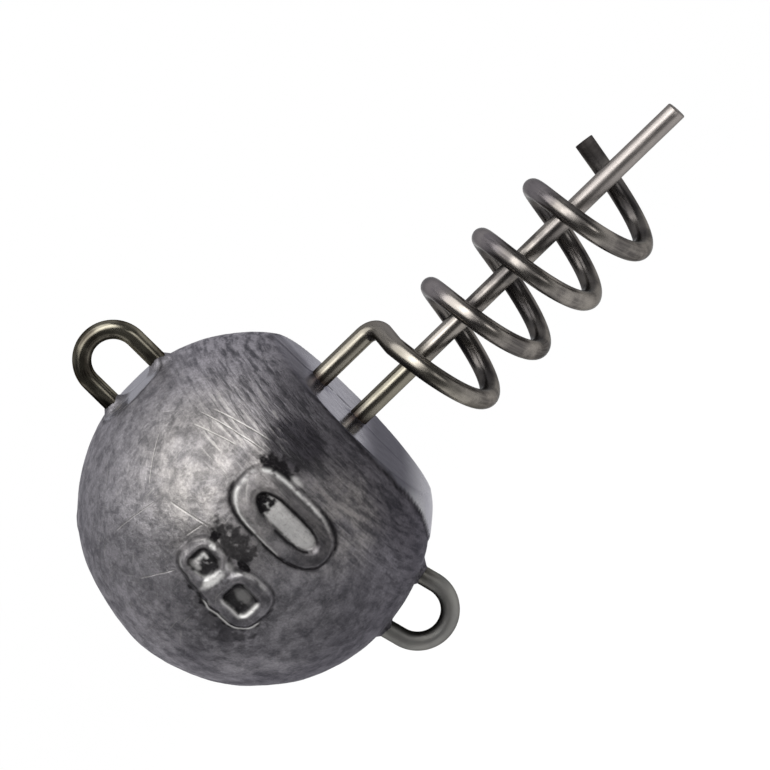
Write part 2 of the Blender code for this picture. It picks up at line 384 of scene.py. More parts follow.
def climb_wires(points, ragged, bare, oxide_and_shade):
    """Draws lead up each wire where it leaves the casting, and gives what is bare and oxidised."""
    for start, direction, climb in wire_exits():
        away = points - start
        along = away @ direction
        across = np.linalg.norm(away - along[:, None] * direction, axis=1)
        near_exit = (along > -1.5).astype(float)
        lip = np.clip(1 - (across - WIRE_RADIUS * 0.95) / 0.85, 0, 1) ** 2.2
        points += direction * (climb * lip * near_exit * (1 + 0.35 * ragged))[:, None]
        bare = bare * (1 - near_exit * smooth_step(1.50, 1.05, across) * (direction[0] < 0.9))
        ring = near_exit * smooth_step(0.84, 0.66, across) * smooth_step(-0.6, 0.3, ragged)
        oxide_and_shade = np.maximum(oxide_and_shade, climb * ring)
    return bare, oxide_and_shade


def cast_surface(directions):
    """The casting's surface for each direction, in mm, and where it has oxide or painted shade, is bare, or
    has wear or painted glints.
    """
    points = directions * BALL_RADIUS
    ripple = slow_noise(points, 0.35, (0, 0, 0)) + 0.5 * slow_noise(points, 0.9, (7, 3, 1))
    grain = slow_noise(points, 3.1, (2, 9, 4))
    ragged = slow_noise(points, 1.7, (5, 1, 8)) + 0.45 * slow_noise(points, 4.5, (3, 6, 2))
    points += directions * (ripple * RIPPLE_HEIGHT + grain * GRAIN_HEIGHT)[:, None]

    near = (directions[:, 1] < -0.2).astype(float)
    outside, in_ring = raise_numerals(points, near, ripple, ragged)
    oxide_and_shade, wear_and_glints = numeral_marks(points[:, 0], points[:, 2], outside, in_ring, ripple, ragged)
    bare, oxide_and_shade = press_flats(points, directions, grain, ragged, near * oxide_and_shade)
    bare, oxide_and_shade = climb_wires(points, ragged, bare, oxide_and_shade)

    # The seam where the two mould halves met, dressed down to a faint broken line
    seam = ridge(directions[:, 1] * BALL_RADIUS, 0.0, SEAM_HALF_WIDTH) * smooth_step(-0.25, 0.35, ripple)
    points += directions * (SEAM_HEIGHT * seam)[:, None]

    # A dark broken line on the rear flat between leg and pin
    on_rear = points[:, 0] > REAR_FLAT - 0.18
    split = ridge(points[:, 1], 1.15, 0.22) * (points[:, 2] > 0.1) * (points[:, 2] < 2.8)
    split = split * (np.abs(points[:, 2] - 1.70) > 0.20)
    oxide_and_shade = np.where(on_rear, np.maximum(oxide_and_shade, split), oxide_and_shade)
    return points, {"oxide_and_shade": np.clip(oxide_and_shade, 0, 1), "cut_bare": bare, "wear_and_glints": near * wear_and_glints}


def place_in_scene(name, data):
    obj = bpy.data.objects.new(name, data)
    bpy.context.scene.collection.objects.link(obj)
    return obj


head_shape = ball_grid(BALL_CELLS)
refine(head_shape, in_numeral_field, 3)
refine(head_shape, beside_a_wire, 2)
refine(head_shape, between_leg_and_pin, 1)
head_shape.verts.ensure_lookup_table()
head_directions = np.array([vert.co.normalized() for vert in head_shape.verts])
head_points, head_layers = cast_surface(head_directions)
for vert, point in zip(head_shape.verts, head_points):
    vert.co = BALL_MIDDLE + Vector(point) * MM
bmesh.ops.recalc_face_normals(head_shape, faces=head_shape.faces)
head_mesh = bpy.data.meshes.new("cast_head")
head_shape.to_mesh(head_mesh)
head_shape.free()
head_mesh.shade_smooth()
for layer_name, values in head_layers.items():
    layer = head_mesh.attributes.new(layer_name, "FLOAT", "POINT")
    layer.data.foreach_set("value", values.astype(np.float32))
cast_head = place_in_scene("cast_head", head_mesh)


class NodeBench:
    """Adds nodes to one material's tree and wires them up."""

    def __init__(self, name):
        self.material = bpy.data.materials.new(name)
        self.material.use_nodes = True
        self.tree = self.material.node_tree
        self.shader = self.tree.nodes["Principled BSDF"]

    def put(self, value, socket):
        if isinstance(value, bpy.types.NodeSocket):
            self.tree.links.new(value, socket)
        else:
            socket.default_value = value

    def fill(self, node, inputs):
        for key, value in inputs.items():
            self.put(value, node.inputs[key.replace("_", " ")])
        return node

    def add(self, kind, settings=None, **inputs):
        node = self.tree.nodes.new(kind)
        for key, value in (settings or {}).items():
            setattr(node, key, value)
        return self.fill(node, inputs)

    def shade(self, **inputs):
        self.fill(self.shader, inputs)

    def math(self, operation, first, second=0.0, clamp=False):
        node = self.add("ShaderNodeMath", {"operation": operation, "use_clamp": clamp})
        self.put(first, node.inputs[0])
        self.put(second, node.inputs[1])
        return node.outputs[0]

    def times(self, first, second, clamp=False):
        return self.math("MULTIPLY", first, second, clamp)

    def plus(self, first, second, clamp=False):
        return self.math("ADD", first, second, clamp)

    def minus(self, first, second):
        return self.math("SUBTRACT", first, second)

    def larger(self, first, second):
        return self.math("MAXIMUM", first, second)

    def hypot(self, first, second):
        squares = [self.math("POWER", self.math("ABSOLUTE", side), 2.0) for side in (first, second)]
        return self.math("SQRT", self.plus(squares[0], squares[1]))

    def between(self, value, low, high, to_low=0.0, to_high=1.0):
        """The value's smooth way from low to high, as a number from to_low to to_high."""
        node = self.add("ShaderNodeMapRange", {"interpolation_type": "SMOOTHSTEP"})
        for socket, setting in zip(node.inputs, (value, low, high, to_low, to_high)):
            self.put(setting, socket)
        return node.outputs[0]

    def blend(self, amount, first, second, kind="MIX"):
        node = self.add("ShaderNodeMix", {"data_type": "RGBA", "blend_type": kind})
        for index, setting in zip((0, 6, 7), (amount, first, second)):
            self.put(setting, node.inputs[index])
        return node.outputs[2]

    def vector_math(self, operation, place, other, output="Vector"):
        node = self.add("ShaderNodeVectorMath", {"operation": operation})
        self.put(place, node.inputs[0])
        self.put(other, node.inputs[1])
        return node.outputs[output]

    def place_in_mm(self):
        coordinates = self.add("ShaderNodeTexCoord").outputs["Object"]
        return self.vector_math("MULTIPLY", coordinates, (1 / MM, 1 / MM, 1 / MM))

    def reach(self, place, direction):
        return self.vector_math("DOT_PRODUCT", place, direction, "Value")

    def parts_of(self, place):
        return tuple(self.add("ShaderNodeSeparateXYZ", None, Vector=place).outputs)

    def noise(self, place, scale, detail=4.0, roughness=0.55, distortion=0.0):
        return self.add("ShaderNodeTexNoise", None, Vector=place, Scale=scale, Detail=detail,
                        Roughness=roughness, Distortion=distortion).outputs["Fac"]

    def attribute(self, name):
        return self.add("ShaderNodeAttribute", {"attribute_name": name}).outputs["Fac"]

    def spot(self, place, middle, inner, outer):
        """1 within inner mm of a point and 0 beyond outer mm."""
        away = self.vector_math("DISTANCE", place, middle, "Value")
        return self.between(away, inner, outer, 1.0, 0.0)


def colour(red, green, blue):
    return (red, green, blue, 1.0)


def grey(tone):
    return colour(tone, tone, tone)


# Bare lead skins over with a lilac grey oxide. Painted light makes it bright and warm high on the
# near side, and painted shade, with some black oxide, darkens it toward the rear and underneath.
PALE_SKIN = colour(0.205, 0.198, 0.210)
DEEP_SKIN = colour(0.078, 0.075, 0.083)
BLACK_OXIDE_AND_SHADE = colour(0.010, 0.009, 0.010)
REAR_OXIDE_AND_SHADE = colour(0.032, 0.030, 0.034)
DARKEST_PAINTED_SHADE = colour(0.014, 0.013, 0.016)
PAINTED_LIGHT_LEAD = colour(0.212, 0.201, 0.186)
SCRATCHED_LEAD = colour(0.440, 0.425, 0.400)
WORN_AND_GLINTING_LEAD = colour(0.680, 0.670, 0.650)
CUT_LEAD = colour(0.120, 0.119, 0.142)
BRIGHT_CUT_LEAD = colour(0.165, 0.163, 0.192)
DULL_CUT_LEAD = colour(0.068, 0.067, 0.077)
PALE_CUT_LEAD = colour(0.345, 0.345, 0.352)
GRAZED_LEAD = colour(0.58, 0.57, 0.62)


def on_casting(x, y, z):
    """A point given from the middle of the ball in mm, as the material's coordinates have it."""
    return (BALL_MIDDLE / MM + Vector((x, y, z))).to_tuple()


lead = NodeBench("cast_lead")
on_ball = lead.place_in_mm()
from_middle = lead.vector_math("SUBTRACT", on_ball, on_casting(0, 0, 0))
ball_x, ball_y, ball_z = lead.parts_of(from_middle)
blotches = lead.noise(on_ball, 0.32, 4.0, 0.55, 0.3)
mottle = lead.noise(on_ball, 1.0, 6.0, 0.66, 0.15)
speckle = lead.noise(on_ball, 5.0, 5.0, 0.62, 0.0)

# Combed marks run round the screw's axis, most of all toward the rear
turned_angle = lead.math("ARCTAN2", ball_z, lead.times(ball_y, -1.0))
combed_place = lead.add("ShaderNodeCombineXYZ", None, X=lead.times(ball_x, 3.2),
                        Y=lead.times(turned_angle, 5.0), Z=lead.times(mottle, 0.6))
combed = lead.noise(combed_place.outputs[0], 1.0, 5.0, 0.62, 0.25)
toward_rear = lead.between(ball_x, 0.0, 7.0)

# Painted shade, with blotches: the lower and further rearward the skin lies, and in a patch low on the
# left, the darker it is, so the underside is darkest
height_tone = lead.plus(lead.times(ball_z, 0.065), lead.times(blotches, 1.3))
height_tone = lead.minus(height_tone, lead.times(ball_x, 0.022))
low_left = lead.spot(on_ball, on_casting(-7.2, -9.0, -1.5), 1.0, 5.5)
height_tone = lead.minus(height_tone, lead.times(low_left, 0.22))
skin = lead.blend(lead.between(height_tone, 0.05, 0.95), DEEP_SKIN, PALE_SKIN)

# A painted highlight: a broad, warm, paler patch high on the near side, where the soft boxes light the ball
# most
painted_highlight = lead.spot(on_ball, on_casting(1.6, -10.0, 5.2), 2.5, 9.0)
painted_highlight = lead.times(painted_highlight, lead.between(blotches, 0.30, 0.60, 0.55, 1.0))
skin = lead.blend(lead.times(painted_highlight, 0.68), skin, PAINTED_LIGHT_LEAD)

# Partly black oxide and partly painted shade: the skin darkens toward the rear, broken by the combed marks
rear_edge = lead.plus(ball_x, lead.times(blotches, 3.0))
rear_edge = lead.plus(rear_edge, lead.times(combed, 3.0))
rear_band = lead.between(rear_edge, 7.6, 9.8)
rear_band = lead.times(rear_band, lead.between(ball_z, 9.0, 4.5, 0.25, 1.0))
rear_band = lead.times(rear_band, lead.between(combed, 0.30, 0.62, 0.70, 1.0))
skin = lead.blend(lead.times(rear_band, 0.80), skin, REAR_OXIDE_AND_SHADE)
# Painted shade: the darkest patch, rearward of the top of the 0, broken by the combed marks
darkest = lead.spot(on_ball, on_casting(6.5, -9.6, 2.9), 1.5, 2.7)
darkest = lead.times(darkest, lead.between(combed, 0.26, 0.42))
skin = lead.blend(lead.times(darkest, 0.80), skin, DARKEST_PAINTED_SHADE)
# Painted light: a paler patch low and rearward of the 0
lighter = lead.spot(on_ball, on_casting(5.0, -10.5, -2.6), 1.0, 5.0)
lighter = lead.times(lighter, lead.between(mottle, 0.35, 0.60, 0.3, 1.0))
skin = lead.blend(lead.times(lighter, 0.45), skin, PAINTED_LIGHT_LEAD)

# Painted light and shade: broad patches made lighter or darker, as a point of the ball, how far its patch
# reaches, and its tone
PAINTED_LIGHT_AND_SHADE = [
    ((3.3, -8.3, 8.0), 4.0, 0.80),
    ((-4.5, -7.9, 7.8), 5.0, 1.16),
    ((-8.4, -8.2, 2.8), 4.0, 1.24),
    ((-7.6, -8.6, -3.4), 3.0, 0.84),
    ((-2.2, -9.3, -7.3), 4.0, 0.84),
]
for point, reach, tone in PAINTED_LIGHT_AND_SHADE:
    patch = lead.spot(on_ball, on_casting(*point), 1.0, reach)
    patch = lead.times(patch, lead.between(blotches, 0.25, 0.5))
    skin = lead.blend(patch, skin, grey(tone), "MULTIPLY")

# Flecks, which are drawn out into combed marks toward the rear, and a fine speckle
flecks = lead.blend(toward_rear, lead.between(mottle, 0.32, 0.68), lead.between(combed, 0.34, 0.64))
fleck_low = lead.blend(toward_rear, colour(0.55, 0.55, 0.56), colour(0.38, 0.38, 0.40))
fleck_high = lead.blend(toward_rear, colour(1.36, 1.35, 1.34), colour(1.85, 1.82, 1.84))
fleck_tone = lead.blend(flecks, fleck_low, fleck_high)
skin = lead.blend(0.9, skin, fleck_tone, "MULTIPLY")
speckle_tone = lead.blend(lead.between(speckle, 0.3, 0.7), grey(0.72), grey(1.22))
skin = lead.blend(0.7, skin, speckle_tone, "MULTIPLY")
drags = lead.spot(on_ball, on_casting(4.4, -8.9, 6.4), 1.5, 4.5)
drags = lead.times(lead.between(combed, 0.55, 0.66), drags)
skin = lead.blend(lead.times(drags, 0.42), skin, SCRATCHED_LEAD)

# Fine straight scratches of four directions, where a noise stretched along each one peaks: how far
# they are turned about Y, how fine they are, and the noise at which their patches start
FINE_SCRATCHES = [(0.72, 5.5, 0.46), (-0.55, 6.5, 0.48), (1.45, 7.0, 0.50), (0.10, 5.8, 0.48)]
scratch_sets = []
away_from_rear = lead.between(ball_x, 6.5, 2.5, 0.20, 1.0)
away_from_rear = lead.times(away_from_rear, lead.between(ball_z, -4.0, 1.0, 0.25, 1.0))
for turn, fineness, start in FINE_SCRATCHES:
    turned = lead.add("ShaderNodeVectorRotate", {"rotation_type": "Y_AXIS"}, Vector=on_ball, Angle=turn)
    along = lead.vector_math("MULTIPLY", turned.outputs[0], (0.40, 0.40, fineness))
    line = lead.between(lead.noise(along, 1.0, 2.0, 0.5), 0.62, 0.74, 0.0, 0.7)
    patchy = lead.between(lead.noise(on_ball, 0.45 + turn * 0.1, 3.0, 0.6), start, start + 0.16)
    patchy = lead.times(patchy, away_from_rear)
    scratch_sets.append(lead.times(line, patchy))

# Single long scratches: from one point of the ball to another, and how wide
LONG_SCRATCHES = [
    ((-2.1, -10.1, 6.2), (-1.2, -11.5, 3.2), 0.110),
    ((-6.6, -7.4, 6.8), (-2.8, -9.5, 6.7), 0.070),
    ((3.2, -7.4, 8.8), (4.9, -10.2, 3.9), 0.080),
    ((4.0, -7.6, 8.3), (5.6, -9.8, 4.3), 0.100),
    ((2.4, -8.0, 8.6), (3.8, -9.9, 5.6), 0.080),
    ((-2.9, -11.0, 3.9), (-1.4, -11.3, 3.7), 0.090),
    ((-7.6, -8.6, 3.6), (-5.0, -10.6, 2.6), 0.060),
    ((0.4, -7.2, 9.6), (-2.6, -8.9, 7.6), 0.060),
]
for start, end, width in LONG_SCRATCHES:
    plane = Vector(start).cross(Vector(end)).normalized()
    middle = (Vector(start) + Vector(end)).normalized() * BALL_RADIUS
    half_length = (Vector(end) - Vector(start)).length / 2
    off_line = lead.math("ABSOLUTE", lead.reach(from_middle, plane.to_tuple()))
    line = lead.between(off_line, 0.0, width, 1.0, 0.0)
    ends = lead.spot(on_ball, on_casting(*middle), half_length * 0.7, half_length * 1.05)
    scratch_sets.append(lead.times(lead.times(line, ends), lead.between(speckle, 0.2, 0.5, 0.6, 1.2)))
scratches = scratch_sets[0]
for scratch_set in scratch_sets[1:]:
    scratches = lead.larger(scratches, scratch_set)
skin = lead.blend(lead.times(scratches, 0.42, clamp=True), skin, SCRATCHED_LEAD)

# The cut flats are lilac. The one between the line eye's legs is palest, like the tongue's end.
cut_bare = lead.attribute("cut_bare")
cut_tone = lead.blend(lead.between(blotches, 0.35, 0.65), CUT_LEAD, BRIGHT_CUT_LEAD)
cut_tone = lead.blend(lead.between(ball_z, 1.5, -2.5, 0.0, 0.80), cut_tone, DULL_CUT_LEAD)
pale_cut = lead.larger(lead.between(ball_z, -4.5, -7.5), lead.between(ball_z, 10.5, 11.2))
pale_cut = lead.larger(pale_cut, lead.spot(on_ball, on_casting(2.9, -11.2, -0.9), 2.0, 3.2))
cut_tone = lead.blend(pale_cut, cut_tone, PALE_CUT_LEAD)
skin = lead.blend(lead.times(cut_bare, 0.92), skin, cut_tone)
# Black oxide and painted shade from the casting, broken by the speckle
oxide_and_shade = lead.times(lead.attribute("oxide_and_shade"), lead.between(speckle, 0.25, 0.55, 0.75, 1.0), clamp=True)
skin = lead.blend(oxide_and_shade, skin, BLACK_OXIDE_AND_SHADE)
# Wear and painted glints: paler, smoother and less metallic
wear_and_glints = lead.times(lead.attribute("wear_and_glints"), lead.between(speckle, 0.2, 0.5, 0.5, 1.0))
skin = lead.blend(lead.times(wear_and_glints, 0.9), skin, WORN_AND_GLINTING_LEAD)
metallic = lead.minus(0.9, lead.times(wear_and_glints, 0.5))
rough = lead.between(mottle, 0.3, 0.7, 0.58, 0.50)
rough = lead.minus(rough, lead.times(painted_highlight, 0.03))
cut_smooth = lead.larger(pale_cut, lead.between(ball_z, -2.6, 0.0))
rough = lead.minus(rough, lead.times(lead.times(cut_bare, cut_smooth), 0.34))
rough = lead.minus(rough, lead.times(wear_and_glints, 0.12))
rough = lead.plus(rough, lead.times(oxide_and_shade, 0.25), clamp=True)
relief = lead.plus(lead.times(speckle, 0.45), lead.times(flecks, 0.75))
relief = lead.minus(relief, lead.times(scratches, 0.5))
relief = lead.times(relief, lead.between(cut_bare, 0.0, 1.0, 1.0, 0.06))
bump = lead.add("ShaderNodeBump", None, Strength=0.60, Distance=0.00006, Height=relief)
lead.shade(Base_Color=skin, Metallic=metallic, Roughness=rough, Specular_Tint=GRAZED_LEAD,
           Normal=bump.outputs[0])
head_mesh.materials.append(lead.material)
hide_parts("lead_head")
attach(cast_head, "root")


# The through wire, one length of spring wire. It shows as the line eye at the top and the hook
# eye underneath, both bent round a peg and cast in by their legs.
WIRE_SIDES = 28
LINE_EYE_TOP = 16.87 - WIRE_RADIUS
HOOK_EYE_FAR = 16.03 - WIRE_RADIUS
# Inside the lead: where the wire starts and ends, and the bend between
FIRST_END_Z = 0.9
MIDDLE_BEND = 4.0
LAST_END_DEPTH = 1.5
# How far apart the rings of a wire may stand, in mm
WIDEST_SPACING = 0.6


def bent_wire(corners, bend_radii, arc_step=math.radians(5)):
    """Middle line of a wire in mm, with a round bend at each corner and points all along it."""
    line = [Vector(corners[0])]
    for before, corner, after, radius in zip(corners, corners[1:], corners[2:], bend_radii):
        inward = (Vector(corner) - Vector(before)).normalized()
        outward = (Vector(after) - Vector(corner)).normalized()
        turn = inward.angle(outward)
        start = Vector(corner) - inward * radius * math.tan(turn / 2)
        side = (outward - inward * inward.dot(outward)).normalized()
        steps = max(4, math.ceil(turn / arc_step))
        for i in range(steps + 1):
            angle = turn * i / steps
            line.append(start + side * radius * (1 - math.cos(angle)) + inward * radius * math.sin(angle))
    line.append(Vector(corners[-1]))
    spaced = [line[0]]
    for point in line[1:]:
        length = (point - spaced[-1]).length
        if length < 1e-4:
            continue
        pieces = max(1, math.ceil(length / WIDEST_SPACING))
        start = spaced[-1]
        spaced.extend(start.lerp(point, k / pieces) for k in range(1, pieces + 1))
    return spaced


# A cropped end: how far its face leans, toward what, and how dark it is. Over the last few mm the
# wire's rings turn to lie along the face.
SQUARE_END = (0.0, None, 1.0)
LEAN_RUN = 2.0
OUT_OF_ROUND = 0.012
# The rings that close it: their share of the wire's radius, and how far out they stand
END_RINGS = [(0.93, 0.05), (0.62, 0.055), (0.28, 0.07)]


def drawn_wire(name, line, radius, ends=(SQUARE_END, SQUARE_END), stained=0.0):
    """A round wire along a line in mm. Its map runs along the wire in cm and once round it.

    The last stained mm before the second end are dark from cutting."""
    shape = bmesh.new()
    uv = shape.loops.layers.uv.new("along_wire")
    cropped = shape.faces.layers.float.new("cropped")
    length = sum((after - before).length for before, after in zip(line, line[1:]))
    tangents = []
    for i in range(len(line)):
        tangents.append((line[min(i + 1, len(line) - 1)] - line[max(i - 1, 0)]).normalized())
    side = tangents[0].orthogonal().normalized()
    run = 0.0
    rings = []
    for i, (point, tangent) in enumerate(zip(line, tangents)):
        if i:
            side = tangents[i - 1].rotation_difference(tangent) @ side
            run += (point - line[i - 1]).length
        side = (side - tangent * side.dot(tangent)).normalized()
        other = tangent.cross(side)
        slope = 0.0
        way = side
        for from_end, (lean, lean_way, _) in zip((run, length - run), ends):
            if lean_way is not None and from_end < LEAN_RUN:
                slope = math.tan(lean) * (1 - from_end / LEAN_RUN)
                way = (lean_way - tangent * lean_way.dot(tangent)).normalized()
        ring = []
        for k in range(WIRE_SIDES):
            angle = math.tau * k / WIRE_SIDES
            uneven = noise.noise(Vector((run * 0.4, math.cos(angle), math.sin(angle))))
            drawn = radius * (1 + OUT_OF_ROUND * uneven)
            out = side * math.cos(angle) + other * math.sin(angle)
            place = point + out * drawn - tangent * slope * drawn * out.dot(way)
            ring.append(shape.verts.new(BALL_MIDDLE + place * MM))
        rings.append((ring, run))
    for (ring, start), (following, end) in zip(rings, rings[1:]):
        for k in range(WIRE_SIDES):
            n = (k + 1) % WIRE_SIDES
            face = shape.faces.new((ring[k], ring[n], following[n], following[k]))
            if stained:
                face[cropped] = 0.85 * max(0.0, 1 - (length - start) / stained)
            corners = ((start, k), (start, k + 1), (end, k + 1), (end, k))
            for loop, (distance, step) in zip(face.loops, corners):
                loop[uv].uv = (distance / 10, step / WIRE_SIDES)
    closings = zip((rings[0], rings[-1]), (-tangents[0], tangents[-1]), ends)
    for (ring, distance), outward, (_, _, darkness) in closings:
        for face in close_cropped_end(shape, ring, distance, outward, uv):
            face[cropped] = darkness
    bmesh.ops.recalc_face_normals(shape, faces=shape.faces)
    mesh = bpy.data.meshes.new(name)
    shape.to_mesh(mesh)
    shape.free()
    mesh.shade_smooth()
    mesh.set_sharp_from_angle(angle=math.radians(50))
    return place_in_scene(name, mesh)


def close_cropped_end(shape, ring, distance, outward, uv):
    """Closes a cropped end with a burred edge and a ridge where the cutter's jaws met."""
    middle = sum((vert.co for vert in ring), Vector()) / WIRE_SIDES
    previous = ring
    faces = []
    for share, push in END_RINGS:
        inner = []
        for vert in ring:
            inner.append(shape.verts.new(middle + (vert.co - middle) * share + outward * push * MM))
        for k in range(WIRE_SIDES):
            n = (k + 1) % WIRE_SIDES
            faces.append(shape.faces.new((previous[k], previous[n], inner[n], inner[k])))
        previous = inner
    faces.append(shape.faces.new(previous))
    for face in faces:
        for loop in face.loops:
            loop[uv].uv = (distance / 10, 0.5)
    return faces


def as_vector(array):
    return Vector(array.tolist())


left_x = LINE_EYE_X - LINE_EYE_HALF
right_x = LINE_EYE_X + LINE_EYE_HALF
rear_leg = as_vector(HOOK_SIDE * (HOOK_EYE_SHIFT - HOOK_EYE_HALF))
front_leg = as_vector(HOOK_SIDE * (HOOK_EYE_SHIFT + HOOK_EYE_HALF))
hook_out = as_vector(HOOK_OUT)
eye_corners = [
    Vector((left_x, 0.0, FIRST_END_Z)),
    Vector((left_x, 0.0, LINE_EYE_TOP)),
    Vector((right_x, 0.0, LINE_EYE_TOP)),
    rear_leg + hook_out * ((right_x - rear_leg.x) / hook_out.x),
    rear_leg + hook_out * HOOK_EYE_FAR,
    front_leg + hook_out * HOOK_EYE_FAR,
    front_leg + hook_out * LAST_END_DEPTH,
]
eye_bends = [LINE_EYE_HALF, LINE_EYE_HALF, MIDDLE_BEND, HOOK_EYE_HALF, HOOK_EYE_HALF]
eye_line = bent_wire(eye_corners, eye_bends)
through_wire = drawn_wire("through_wire", eye_line, WIRE_RADIUS)


def drawn_marks():
    """Fine lines along a drawn wire, and slow patches of oxide, for any wire on this head."""
    group = bpy.data.node_groups.new("drawn_marks", "ShaderNodeTree")
    for way, names in (("INPUT", ("Line Fineness", "Patch Size")), ("OUTPUT", ("Lines", "Patches"))):
        for name in names:
            group.interface.new_socket(name, in_out=way, socket_type="NodeSocketFloat")
    entry = group.nodes.new("NodeGroupInput")
    leave = group.nodes.new("NodeGroupOutput")
    wire_map = group.nodes.new("ShaderNodeUVMap")
    wire_map.uv_map = "along_wire"
    stretch = group.nodes.new("ShaderNodeVectorMath")
    stretch.operation = "MULTIPLY"
    stretch.inputs[1].default_value = (3.0, 14.0, 1.0)
    lines = group.nodes.new("ShaderNodeTexNoise")
    lines.inputs["Detail"].default_value = 5.0
    place = group.nodes.new("ShaderNodeTexCoord")
    patches = group.nodes.new("ShaderNodeTexNoise")
    patches.inputs["Detail"].default_value = 4.0
    group.links.new(wire_map.outputs[0], stretch.inputs[0])
    group.links.new(stretch.outputs[0], lines.inputs["Vector"])
    group.links.new(entry.outputs["Line Fineness"], lines.inputs["Scale"])
    group.links.new(place.outputs["Object"], patches.inputs["Vector"])
    group.links.new(entry.outputs["Patch Size"], patches.inputs["Scale"])
    group.links.new(lines.outputs["Fac"], leave.inputs["Lines"])
    group.links.new(patches.outputs["Fac"], leave.inputs["Patches"])
    return group


CROPPED_BLACK = colour(0.012, 0.010, 0.010)


def oxidised_wire(name, marks, dark, bright, roughness):
    """Spring wire with two tones of oxide and thin drawn lines: its bench, patches, tone and roughness."""
    bench = NodeBench(name)
    read = bench.add("ShaderNodeGroup", {"node_tree": marks}, Line_Fineness=1.6, Patch_Size=480.0)
    lines = bench.between(read.outputs["Lines"], 0.35, 0.68)
    patches = bench.between(read.outputs["Patches"], 0.36, 0.62)
    tone = bench.blend(patches, dark, bright)
    tone = bench.blend(bench.times(lines, 0.25), tone, colour(*(c * 1.3 for c in bright[:3])))
    rough = bench.plus(roughness, bench.times(lines, 0.07))
    rough = bench.plus(rough, bench.times(patches, -0.05))
    bump = bench.add("ShaderNodeBump", None, Strength=0.15, Distance=0.00002, Height=read.outputs["Lines"])
    bench.shade(Normal=bump.outputs[0])
    return bench, read.outputs["Patches"], tone, rough


def finish_wire(wire, bench, tone, rough, edge):
    """Puts tone and roughness on a wire, black where it is cropped, and its tint at grazing angles."""
    cropped = bench.attribute("cropped")
    tone = bench.blend(bench.times(cropped, 0.95), tone, CROPPED_BLACK)
    rough = bench.plus(rough, bench.times(cropped, 0.30), clamp=True)
    bench.shade(Base_Color=tone, Metallic=1.0, Roughness=rough, Specular_Tint=grey(edge))
    wire.data.materials.append(bench.material)


DARK_OLIVE = colour(0.038, 0.032, 0.025)
PALE_OLIVE = colour(0.180, 0.167, 0.133)
HOOK_EYE_GREY = colour(0.215, 0.213, 0.206)
BEND_GRIME_AND_SHADE = colour(0.010, 0.009, 0.008)

wire_marks = drawn_marks()
olive, _, eye_tone, eye_rough = oxidised_wire("olive_eye_wire", wire_marks, DARK_OLIVE, PALE_OLIVE, 0.25)
on_eye_wire = olive.place_in_mm()

# The hook eye, under the lead, is dull and grey
dull = olive.between(olive.parts_of(on_eye_wire)[2], -24.0, -27.0)
eye_tone = olive.blend(olive.times(dull, 0.8), eye_tone, HOOK_EYE_GREY)
eye_rough = olive.plus(eye_rough, olive.times(dull, 0.26))

# The inside of its bend is darker, partly grime and partly painted shade
bend_middle = BALL_MIDDLE / MM + hook_out * (HOOK_EYE_FAR - HOOK_EYE_HALF)
bend_middle += as_vector(HOOK_SIDE * HOOK_EYE_SHIFT)
from_bend = olive.vector_math("SUBTRACT", on_eye_wire, bend_middle.to_tuple())
beyond = olive.larger(olive.reach(from_bend, hook_out.to_tuple()), 0.0)
across_bend = olive.reach(from_bend, as_vector(HOOK_SIDE).to_tuple())
bend_inside = HOOK_EYE_HALF - WIRE_RADIUS
grime_and_shade = olive.between(olive.hypot(beyond, across_bend), bend_inside + 0.05, bend_inside + 0.34, 0.92, 0.0)
eye_tone = olive.blend(grime_and_shade, eye_tone, BEND_GRIME_AND_SHADE)
finish_wire(through_wire, olive, eye_tone, eye_rough, 0.20)
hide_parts("eye_wire")
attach(through_wire, "root")


# The screw wire, one length of the same gauge. From the pin's tip it runs into the lead, turns
# back as an anchor, comes out as the leg and winds just under four right-handed turns.
PIN_TIP_X = 39.55
ANCHOR_X = 5.4
LEG_CORNER_X = 14.82
LEG_BEND = 1.2
COIL_RADIUS = 4.02
COIL_AXIS_Z = -1.54
COIL_PITCH = 4.83
COIL_NEAR_X = 15.69
SCREW_WIRE_RADIUS = 0.69
COIL_END_TURN = 4.153
TAIL_TURN = 4.085
RINGS_A_TURN = 84
PIN_END = (math.radians(-5), Vector((0.0, 0.3, 1.0)), 0.25)
FREE_END = (math.radians(42), Vector((0.12, 0.19, 0.97)), 1.0)
FREE_END_STAIN = 3.2


def coil_point(turn):
    angle = math.tau * turn
    return Vector((
        COIL_NEAR_X + COIL_PITCH * (turn - 0.5),
        COIL_RADIUS * math.cos(angle),
        COIL_AXIS_Z + COIL_RADIUS * math.sin(angle),
    ))


coil_start_turn = 0.25 + math.acos(COIL_RADIUS / (LEG_Z - COIL_AXIS_Z)) / math.tau
anchor_bend = (LEG_Z - PIN_Z) / 2
screw_corners = [
    Vector((PIN_TIP_X, 0.0, PIN_Z)),
    Vector((ANCHOR_X, 0.0, PIN_Z)),
    Vector((ANCHOR_X, 0.0, LEG_Z)),
    Vector((LEG_CORNER_X, 0.0, LEG_Z)),
    coil_point(coil_start_turn),
]
screw_line = bent_wire(screw_corners, [anchor_bend, anchor_bend, LEG_BEND])
coil_steps = round((COIL_END_TURN - coil_start_turn) * RINGS_A_TURN)

# The bender left the last bit of the coil straight
tail_start = coil_point(TAIL_TURN)
tail_way = (coil_point(TAIL_TURN + 0.001) - coil_point(TAIL_TURN - 0.001)) / 0.002
for step in range(1, coil_steps + 1):
    turn = coil_start_turn + (COIL_END_TURN - coil_start_turn) * step / coil_steps
    screw_line.append(coil_point(turn) if turn < TAIL_TURN else tail_start + tail_way * (turn - TAIL_TURN))
corkscrew = drawn_wire("corkscrew_wire", screw_line, SCREW_WIRE_RADIUS, (PIN_END, FREE_END), FREE_END_STAIN)

